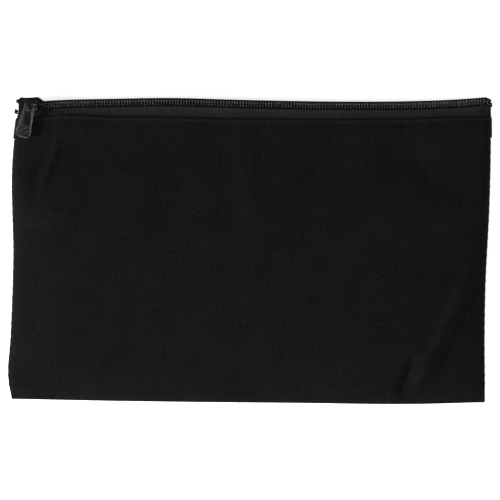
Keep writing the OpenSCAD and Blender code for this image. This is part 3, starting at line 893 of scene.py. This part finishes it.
# %% Thin tubes
def tube_mesh(name, path, radius, sides=8):
    """A round wire along a path, closed with a point at each end."""
    path = np.asarray(path, float)
    ahead = np.gradient(path, axis=0)
    ahead /= np.linalg.norm(ahead, axis=1)[:, None]
    lean = np.where(np.abs(ahead[:, :1]) > 0.9, [[0.0, 0.0, 1.0]], [[1.0, 0.0, 0.0]])
    first = np.cross(ahead, lean)
    first /= np.linalg.norm(first, axis=1)[:, None]
    for k in range(1, len(first)):
        # Carry the first ring's direction along the path, so that the wire doesn't twist
        carried = first[k - 1] - ahead[k] * np.dot(first[k - 1], ahead[k])
        first[k] = carried / np.linalg.norm(carried)
    second = np.cross(ahead, first)
    radius = np.broadcast_to(np.asarray(radius, float), len(path))
    angles = np.arange(sides) * 2 * math.pi / sides
    cosines, sines = np.cos(angles)[None, :, None], np.sin(angles)[None, :, None]
    outward = cosines * first[:, None] + sines * second[:, None]
    rings = path[:, None] + radius[:, None, None] * outward
    points = np.concatenate([rings.reshape(-1, 3), path[:1], path[-1:]])
    faces = []
    for r in range(len(path) - 1):
        for s in range(sides):
            n = (s + 1) % sides
            faces.append((r * sides + s, r * sides + n, (r + 1) * sides + n, (r + 1) * sides + s))
    start, end, top = len(points) - 2, len(points) - 1, (len(path) - 1) * sides
    faces += [(start, (s + 1) % sides, s) for s in range(sides)]
    faces += [(end, top + s, top + (s + 1) % sides) for s in range(sides)]
    mesh = bpy.data.meshes.new(name)
    mesh.from_pydata((points * MM).tolist(), [], faces)
    mesh.polygons.foreach_set("use_smooth", np.ones(len(mesh.polygons), dtype=bool))
    return mesh


def kept_shape(name, path, radius, sides=8):
    """A shape that is only repeated, and never drawn itself."""
    return bpy.data.objects.new(name, tube_mesh(name, path, radius, sides))


# %% One turn of the coil, one link of cord and the stitches
WIRE = 0.21
TURN_POINTS = 17
HEAD_SWELL = 0.12
HEAD_OVERLAP = 0.22
LEG_STRAIGHTNESS = 0.9
CORD_R = 0.27
CORD_OVAL = 2.2
turn_share = np.linspace(0, 1, TURN_POINTS)


def stitch_path(length, rise):
    """A stitch: flat in the middle, with both ends diving into the cloth."""
    t = np.linspace(-1, 1, 9)
    return np.stack([t * length / 2, 0 * t, rise * (1 - t ** 4) - rise * 0.6], axis=-1)


def coil_path(t):
    """One turn of filament: out along the tape, round the head and back over the top."""
    angle = 2 * math.pi * t - math.pi
    reach = CHAIN_W / 2 + HEAD_OVERLAP
    middle_y, middle_z = reach / 2 - CHAIN_W / 2, COIL_H / 2
    y = middle_y + (reach / 2 - WIRE) * np.sign(np.cos(angle)) * np.abs(np.cos(angle)) ** 0.7
    z = middle_z + (COIL_H / 2 - WIRE) * np.sign(np.sin(angle)) * np.abs(np.sin(angle)) ** 0.6
    x = PITCH * (t - 0.5 + LEG_STRAIGHTNESS * np.sin(4 * math.pi * (t - 0.5)) / (4 * math.pi))
    return np.stack([x, y, z], axis=-1)


head = np.exp(-((turn_share - 0.5) / 0.12) ** 2)
coil_turn = kept_shape("coil_turn", coil_path(turn_share), WIRE * (1 + HEAD_SWELL * head))
cord_link = kept_shape("cord_link", np.linspace((-0.7, 0, 0), (0.7, 0, 0), 5), CORD_R)
cord_link.data.transform(Matrix.Diagonal((1.0, CORD_OVAL, 1.0, 1.0)))
lock_stitch = kept_shape("lock_stitch", stitch_path(length=1.3, rise=0.1), 0.26)
stitch = kept_shape("stitch", stitch_path(length=2.3, rise=0.16), 0.15)
short_stitch = kept_shape("short_stitch", stitch_path(length=1.7, rise=0.14), 0.14)
print("faces in a coil turn", len(coil_turn.data.polygons), "and in a stitch", len(stitch.data.polygons))

# %% [markdown]
# ## Coils, cords and their stitching
# The two coils mesh because their turns are half a pitch apart. Near the slider the wedge parts them. A
# cord runs inside each coil, and a row of lock stitches sews both to the tape: without these the chain
# would be a loose spring. They are repeated at the same pitch, so every turn has its stitch. The front
# coil, its cord and its stitching come in a left and a right half, like the front tape.


# %% Rows along the chain
def chain_row(first, last, shift, side_way, lateral, height):
    """One place a turn along the zip's line, at a fixed distance to one side, with its directions."""
    s = np.arange(first + shift, last, PITCH)
    place, along, side = on_line(s)
    up = np.cross(along, side)
    away = lateral + parted(place[:, 0])
    return place + side * (side_way * away)[:, None] + up * height, along, up


# Rows of stitches that hold each coil: distance from the zip's line and height above the tape
OVER_COIL = (CHAIN_W / 2 - 0.4, COIL_H - 0.1)
BESIDE_COIL = (CHAIN_W / 2 + 0.1, COIL_H * 0.45)
# Both rows are in nearly black thread, painted shade over the coil's legs; the row beside the front coil is
# a painted shadow line along its edge
STITCH_ROWS = {"front": (OVER_COIL, BESIDE_COIL), "back": (OVER_COIL,)}
STITCH_START = 0.5


def dress_chain(tag, node_side, first, last, side_way, shift):
    """The coil, cord and stitching of one run of the chain."""
    places, along, up = chain_row(first, last, shift, side_way, 0.0, 0.0)
    coil = repeat(tag + "_coil", coil_turn, nylon, places, along * -side_way, up)
    places, along, up = chain_row(first, last, STITCH_START, side_way, CHAIN_W / 4, COIL_H / 2)
    # Cord and stitches in nearly black thread: painted shade in the chain
    cord = repeat(tag + "_cord", cord_link, thread_with_painted_shade, places, along, up)
    rows = [chain_row(first, last, STITCH_START, side_way, *row) for row in STITCH_ROWS[node_side]]
    places, along, up = (np.concatenate(part) for part in zip(*rows))
    seam = repeat(tag + "_coil_stitching", lock_stitch, thread_with_painted_shade, places, along, up)
    for piece, node in ((coil, "coil"), (cord, "core_cord"), (seam, "coil_stitching")):
        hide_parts(node_side + "_" + node)
    return coil, cord, seam


# %% Dress both sides of the chain
FIRST_TURN = 0.1
OVER_END = 0.4
turns_left = math.floor((ZIP_MIDDLE - ZIP_START) / PITCH)
SPLIT = ZIP_START + turns_left * PITCH
FRONT_RUNS = {"left": (ZIP_START, SPLIT), "right": (SPLIT, arc_run + OVER_END)}
for half, (first, last) in FRONT_RUNS.items():
    for piece in dress_chain("front_" + half, "front", first, last, -1, FIRST_TURN):
        lip_bend(piece, half)
half_turn_on = FIRST_TURN + PITCH / 2 - OVER_END
for piece in dress_chain("back", "back", ZIP_START + OVER_END, ZIP_END, 1, half_turn_on):
    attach(piece, "pouch")
print("turns in each coil about", round((ZIP_END - ZIP_START) / PITCH))

# %% [markdown]
# ## Sewing
# Rows of stitches hold the tapes under the hems. The side seams are sewn inside out, so only short bars of
# thread show in the groove. Inside, the raw edges of each seam are bound with looped thread. A bump could
# fake a stitch from far away, but real ones cast a shadow and stay right up close, so each is a small tube.


# %% Topstitches
def hem_height(side, x, inset):
    """Height of the hem's outer face at places x, this far in from its fold edge."""
    row = hem_row(side, inset, 0.0)
    return np.interp(x, row[:, 0], row[:, 2])


STITCH_STEP = 2.9
STITCH_INSET = 1.0
STITCH_PROUD = 0.02
STITCH_FROM, STITCH_TO = -96.0, 98.0
for label, side in (("front", 1), ("back", -1)):
    x = np.arange(STITCH_FROM, STITCH_TO, STITCH_STEP)
    y = through(HEM_EDGE, x) - STITCH_INSET
    z = hem_height(side, x, STITCH_INSET) + side * STITCH_PROUD
    places = np.stack([x, y, z], axis=-1)
    slope = np.gradient(places, axis=0)
    slope /= np.linalg.norm(slope, axis=1)[:, None]
    row = repeat(label + "_stitch_row", stitch, hem_thread, places, slope, (0, 0, side))
    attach(row, "pouch")
    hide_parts(label + "_topstitch")
    print(label, "topstitches", len(places))

# %% Seam allowance
ALLOWANCE = 8.0
ALLOWANCE_LOW = mm_box("left_seam_allowance")[0][1]
ALLOWANCE_TOP = 54.0
ALLOWANCE_CLOTH = 0.3
# The hairpin's outline: share of the width from the seam, and height above the seam plane
HAIRPIN = ((1.0, 0.5), (0.7, 0.5), (0.4, 0.45), (0.22, 0.3), (0.2, 0.0),
           (0.22, -0.3), (0.4, -0.45), (0.7, -0.5), (1.0, -0.5))


def rim_x(side, y):
    """Where the side edge of the case lies at height y."""
    return through(LEFT_EDGE if side < 0 else RIGHT_EDGE, y)


def allowance_points(side):
    """Two layers of cloth that lie flat inside the seam, drawn as one narrow hairpin."""
    y = np.linspace(ALLOWANCE_LOW, ALLOWANCE_TOP, 90)
    reach = ALLOWANCE + 0.25 * np.sin(y / 6.1) + 0.15 * np.sin(y / 2.3)
    rows = []
    for part, height in HAIRPIN:
        x = rim_x(side, y) - side * (part * reach)
        z = SEAM_Z + height + 0.12 * part * np.sin(y / 7.0 + height)
        rows.append(np.stack([x, y, z], axis=-1))
    return np.array(rows if side > 0 else rows[::-1]), y


# %% Side seams: turned-in cloth, its bound edge and the stitches in the groove
SEAM_STEP = 3.6
SEAM_FROM, SEAM_TO = -56.0, 50.0
LOOP_STEP = 3.0
LOOP_TO = 52.0
LOOP_WIRE = 0.13

# A loop of thread: a bow round the raw edge, with two tails on the cloth
loop_turn = np.linspace(-0.5 * math.pi, 0.5 * math.pi, 9)
loop_bow = np.stack(
    [0.35 * np.cos(loop_turn), 0.25 * np.sin(-loop_turn), 0.95 * np.sin(loop_turn)], axis=-1)
loop_path = np.concatenate([[[-3.0, 0.5, -0.75]], loop_bow, [[-3.0, -0.5, 0.75]]])
edge_loop = kept_shape("edge_loop", loop_path, LOOP_WIRE, 6)
seam_pieces = []
for label, side in (("left", -1), ("right", 1)):
    points, y = allowance_points(side)
    strip = new_object(label + "_allowance", grid_mesh(label + "_allowance", points, path_map(points, y)))
    thicken(strip, ALLOWANCE_CLOTH)
    strip.data.materials.append(canvas_cloth)
    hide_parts(label + "_seam_allowance")
    y = np.arange(ALLOWANCE_LOW + 2, LOOP_TO, LOOP_STEP)
    inner = rim_x(side, y) - side * (ALLOWANCE + 0.2)
    places = np.stack([inner, y, np.full(len(y), SEAM_Z)], axis=-1)
    loops = repeat(label + "_edge_loops", edge_loop, thread, places, (-side, 0, 0), (0, 0, 1))
    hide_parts(label + "_overlock_thread")
    y = np.arange(SEAM_FROM, SEAM_TO, SEAM_STEP)
    places = np.stack([rim_x(side, y) - side * 0.05, y, np.full(len(y), SEAM_Z)], axis=-1)
    row = repeat(label + "_seam_row", short_stitch, thread, places, (0, 1, 0), (side, 0, 0))
    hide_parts(label + "_seam_stitches")
    for piece in (strip, loops, row):
        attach(piece, "pouch")
    seam_pieces += [strip, loops, row]
    print(label, "seam stitches", len(places))

# %% [markdown]
# ## Slider and pull
# Both are cast in zinc, tumbled smooth and enamelled black. The metal pieces keep their solid shapes, so a
# copy of each solid is merged and its edges get a small bevel, because rounds are what catches the light.
# Hands wear the enamel off the raised rims of the pull, and the bare zinc there is brighter still as a
# painted highlight. A painted mask would need a picture, so the finish works the rims out from the pull's
# pivot, its lean and its taper.

# %% Worn enamel and painted highlight on the pull
# The pull's outline: pivot, lean, half width at the pivot, taper, reach and width of the rim
TAB_PIVOT = (-91.7, 60.1)
TAB_LEAN = math.radians(13)
TAB_NECK = 2.1
TAB_TAPER = 1.0 / 11.6
TAB_REACH = 13.6
TAB_RIM = 0.6
TAB_TOP = mm_box("pull_tab")[1][2]
WORN_HIGHLIGHT_DEPTH = 0.15
WORN_HIGHLIGHT_TINT = (0.075, 0.075, 0.077, 1)
WORN_HIGHLIGHT_METAL = 0.7


def worn_highlit_rims():
    """Enamel worn to bright zinc along the raised rims of the pull, with a painted highlight, placed from
    its pivot and its lean.
    """
    mat = plain_finish("worn_enamel_highlight", ENAMEL_DARK, ENAMEL_LIGHT, **ENAMEL)
    tree = mat.node_tree
    metal = tree.nodes["Principled BSDF"]
    place = tree.nodes.new("ShaderNodeTexCoord").outputs["Object"]
    offset = tree.nodes.new("ShaderNodeVectorMath")
    offset.operation = "SUBTRACT"
    offset.inputs[1].default_value = (TAB_PIVOT[0] * MM, TAB_PIVOT[1] * MM, 0)
    tree.links.new(place, offset.inputs[0])
    across_way = (math.cos(TAB_LEAN), -math.sin(TAB_LEAN), 0)
    down_way = (-math.sin(TAB_LEAN), -math.cos(TAB_LEAN), 0)
    reach = []
    for way in (across_way, down_way):
        dot = tree.nodes.new("ShaderNodeVectorMath")
        dot.operation = "DOT_PRODUCT"
        dot.inputs[1].default_value = way
        tree.links.new(offset.outputs[0], dot.inputs[0])
        reach.append(dot.outputs["Value"])
    across, down = node_math(tree, "ABSOLUTE", reach[0]), reach[1]
    flare = node_math(tree, "MULTIPLY", down, TAB_TAPER)
    half = node_math(tree, "ADD", flare, (TAB_NECK - TAB_RIM) * MM)
    on_side = node_math(tree, "GREATER_THAN", across, half)
    on_end = node_math(tree, "GREATER_THAN", down, (TAB_REACH - TAB_RIM) * MM)
    rim = node_math(tree, "MAXIMUM", on_side, on_end)
    below_eye = node_math(tree, "GREATER_THAN", down, -0.5 * TAB_NECK * MM)
    height = tree.nodes.new("ShaderNodeSeparateXYZ")
    tree.links.new(place, height.inputs[0])
    on_top = node_math(tree, "GREATER_THAN", height.outputs[2], TAB_TOP * MM - WORN_HIGHLIGHT_DEPTH * MM)
    # Worn zinc and painted highlight on the top faces of the rims
    worn = node_math(tree, "MULTIPLY", node_math(tree, "MULTIPLY", rim, below_eye), on_top)
    tint = tree.nodes.new("ShaderNodeMix")
    tint.data_type = "RGBA"
    tint.inputs["B"].default_value = WORN_HIGHLIGHT_TINT
    tree.links.new(metal.inputs["Base Color"].links[0].from_socket, tint.inputs["A"])
    tree.links.new(worn, tint.inputs["Factor"])
    tree.links.new(tint.outputs["Result"], metal.inputs["Base Color"])
    tree.links.new(node_math(tree, "MULTIPLY", worn, WORN_HIGHLIGHT_METAL), metal.inputs["Metallic"])
    return mat


# %% Rounded metal
MERGE = 1e-6
FLAT_ANGLE = math.radians(1)
ROUND_ANGLE = math.radians(40)
# Rounds below these places on y keep the bright zinc, worn bare and with a painted highlight: none on the
# slider, the grip on the pull
SLIDER_BRIGHT_BELOW = slider_low[1]
TAB_BRIGHT_BELOW = 58.8


def rounded_copy(node, width, finish, bright_below):
    """A copy of a solid with rounded edges, some of them in bright zinc: worn bare, with a painted
    highlight.
    """
    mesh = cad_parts[node].data.copy()
    work = bmesh.new()
    work.from_mesh(mesh)
    bmesh.ops.remove_doubles(work, verts=work.verts, dist=MERGE)
    bmesh.ops.dissolve_limit(work, angle_limit=FLAT_ANGLE, verts=work.verts, edges=work.edges)
    work.to_mesh(mesh)
    work.free()
    mesh.materials.clear()
    mesh.materials.append(finish)
    mesh.materials.append(worn_zinc_highlight)
    obj = new_object(node + "_metal", mesh)
    bevel = obj.modifiers.new("rounds", "BEVEL")
    bevel.width = width * MM
    bevel.segments = 3
    bevel.limit_method = "ANGLE"
    bevel.angle_limit = ROUND_ANGLE
    bevel.use_clamp_overlap = True
    bevel.material = 1
    obj.modifiers.new("even_light", "WEIGHTED_NORMAL")
    baked(obj)
    obj.data.polygons.foreach_set("use_smooth", np.ones(len(obj.data.polygons), dtype=bool))
    # Bevel faces below the given place keep the bright zinc: worn metal and painted highlight
    for polygon in obj.data.polygons:
        if polygon.center.y > bright_below * MM:
            polygon.material_index = 0
    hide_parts(node)
    print(node, "faces", len(obj.data.polygons))
    return obj


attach(rounded_copy("slider_body", 0.12, enamel, SLIDER_BRIGHT_BELOW), "zip_slider")
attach(rounded_copy("pull_tab", 0.2, worn_highlit_rims(), TAB_BRIGHT_BELOW), "zip_tab")
